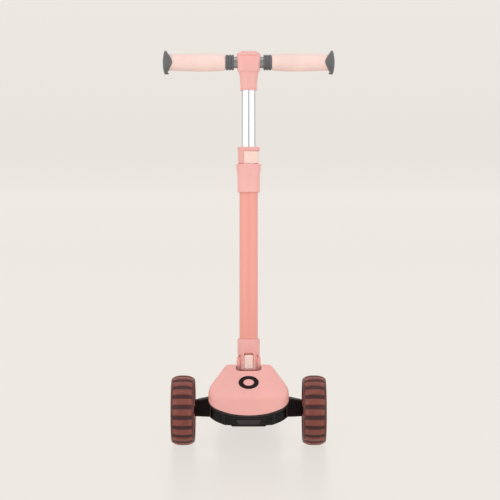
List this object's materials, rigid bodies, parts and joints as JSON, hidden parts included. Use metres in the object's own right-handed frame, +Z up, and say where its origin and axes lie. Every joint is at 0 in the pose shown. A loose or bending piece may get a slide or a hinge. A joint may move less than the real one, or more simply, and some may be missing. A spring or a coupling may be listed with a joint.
{
  "type": "kick scooter",
  "caption": "Three-wheeled children's kick scooter that steers by leaning, with a folding telescopic stem, quick-release lever and rear foot brake.",
  "frame": {"origin": "on the ground under the middle of the scooter's length and width", "axes": "+Z up, -Y forwards, so +X is the rider's left"},
  "size_m": [0.2972, 0.5072, 0.6678],
  "materials": {
    "deck_plastic": "fine-textured moulded plastic",
    "grip_mat": "matt ribbed rubber",
    "pink_shell": "satin moulded plastic",
    "pink_bracket": "satin, moulded and filled with glass fibre",
    "badge": "satin",
    "black_shell": "fine-textured moulded plastic",
    "steel": "zinc plated",
    "spring_steel": "bright",
    "bush": "moulded",
    "tyre": "translucent smoky urethane with cross grooves",
    "wheel_hub": "satin moulded plastic",
    "pink_tube": "satin paint",
    "cream_plastic": "satin",
    "silver_tube": "polished and anodised",
    "grip": "soft moulded rubber",
    "grip_trim": "matt"
  },
  "bodies": {
    "deck": {"deck": "deck_plastic", "deck_mat": "grip_mat", "front_cover": "pink_shell", "cover_badge": "badge", "front_bumper": "black_shell", "stem_bracket": "pink_bracket", "bracket_bolt_left": "steel", "bracket_bolt_right": "steel", "fold_hinge_pin": "steel", "kingpin": "steel", "steering_spring_left": "spring_steel", "steering_spring_right": "spring_steel", "rear_axle": "steel", "rear_axle_nut": "steel", "brake_pin": "steel", "brake_spring": "spring_steel"},
    "truck": {"axle_carrier": "black_shell", "kingpin_bush": "bush", "front_axle_left": "steel", "front_axle_right": "steel"},
    "front_left_wheel": {"front_left_tyre": "tyre", "front_left_hub": "wheel_hub", "front_left_bearing_left": "steel", "front_left_bearing_right": "steel", "front_left_spacer": "steel"},
    "front_right_wheel": {"front_right_tyre": "tyre", "front_right_hub": "wheel_hub", "front_right_bearing_left": "steel", "front_right_bearing_right": "steel", "front_right_spacer": "steel"},
    "rear_wheel": {"rear_tyre": "tyre", "rear_hub": "wheel_hub", "rear_bearing_left": "steel", "rear_bearing_right": "steel", "rear_spacer": "steel"},
    "brake": {"brake_fender": "pink_shell"},
    "stem": {"lower_sleeve": "pink_shell", "outer_tube": "pink_tube", "upper_sleeve": "pink_shell", "tube_bushing": "bush", "clamp_collar": "pink_shell", "clamp_bolt": "steel", "lever_pin": "steel", "fold_button_spring": "spring_steel"},
    "button": {"fold_button": "cream_plastic"},
    "lever": {"quick_release_lever": "cream_plastic"},
    "handlebar": {"inner_tube": "silver_tube", "t_joint": "pink_shell", "t_cap": "pink_shell", "handlebar_tube": "silver_tube", "bar_set_screw": "steel", "stem_set_screw": "steel", "grip_left": "grip", "grip_right": "grip", "grip_collar_left": "grip_trim", "grip_collar_right": "grip_trim", "grip_end_left": "grip_trim", "grip_end_right": "grip_trim"}
  },
  "joints": [
    {"name": "steer", "type": "hinge", "parent": "deck", "child": "truck", "pos_m": [0, -0.194, 0.066], "axis": [0, -0.5446, 0.8387], "range_deg": [-14, 14], "stiffness_Nm_per_rad": 40, "deforming": ["steering_spring_left", "steering_spring_right"]},
    {"name": "front_left_spin", "type": "hinge", "parent": "truck", "child": "front_left_wheel", "pos_m": [0.112, -0.194, 0.06], "axis": [1, 0, 0], "continuous": true},
    {"name": "front_right_spin", "type": "hinge", "parent": "truck", "child": "front_right_wheel", "pos_m": [-0.112, -0.194, 0.06], "axis": [1, 0, 0], "continuous": true},
    {"name": "rear_spin", "type": "hinge", "parent": "deck", "child": "rear_wheel", "pos_m": [0, 0.206, 0.04], "axis": [1, 0, 0], "continuous": true},
    {"name": "brake_press", "type": "hinge", "parent": "deck", "child": "brake", "pos_m": [0, 0.158, 0.067], "axis": [-1, 0, 0], "range_deg": [0, 5], "stiffness_Nm_per_rad": 1.5, "springref_deg": -5.73, "deforming": ["brake_spring"]},
    {"name": "stem_fold", "type": "hinge", "parent": "deck", "child": "stem", "pos_m": [0, -0.146, 0.13], "axis": [-1, 0, 0], "range_deg": [0, 80]},
    {"name": "bar_height", "type": "slide", "parent": "stem", "child": "handlebar", "axis": [0, 0.1392, 0.9903], "range_m": [-0.09, 0.045]},
    {"name": "lever_swing", "type": "hinge", "parent": "stem", "child": "lever", "pos_m": [0.013, -0.07574, 0.48265], "axis": [0, 0.1392, 0.9903], "range_deg": [0, 100]},
    {"name": "button_press", "type": "slide", "parent": "stem", "child": "button", "axis": [0, 0.9903, -0.1392], "range_m": [0, 0.0035], "stiffness_N_per_m": 400, "springref_m": -0.002, "deforming": ["fold_button_spring"]}
  ]
}
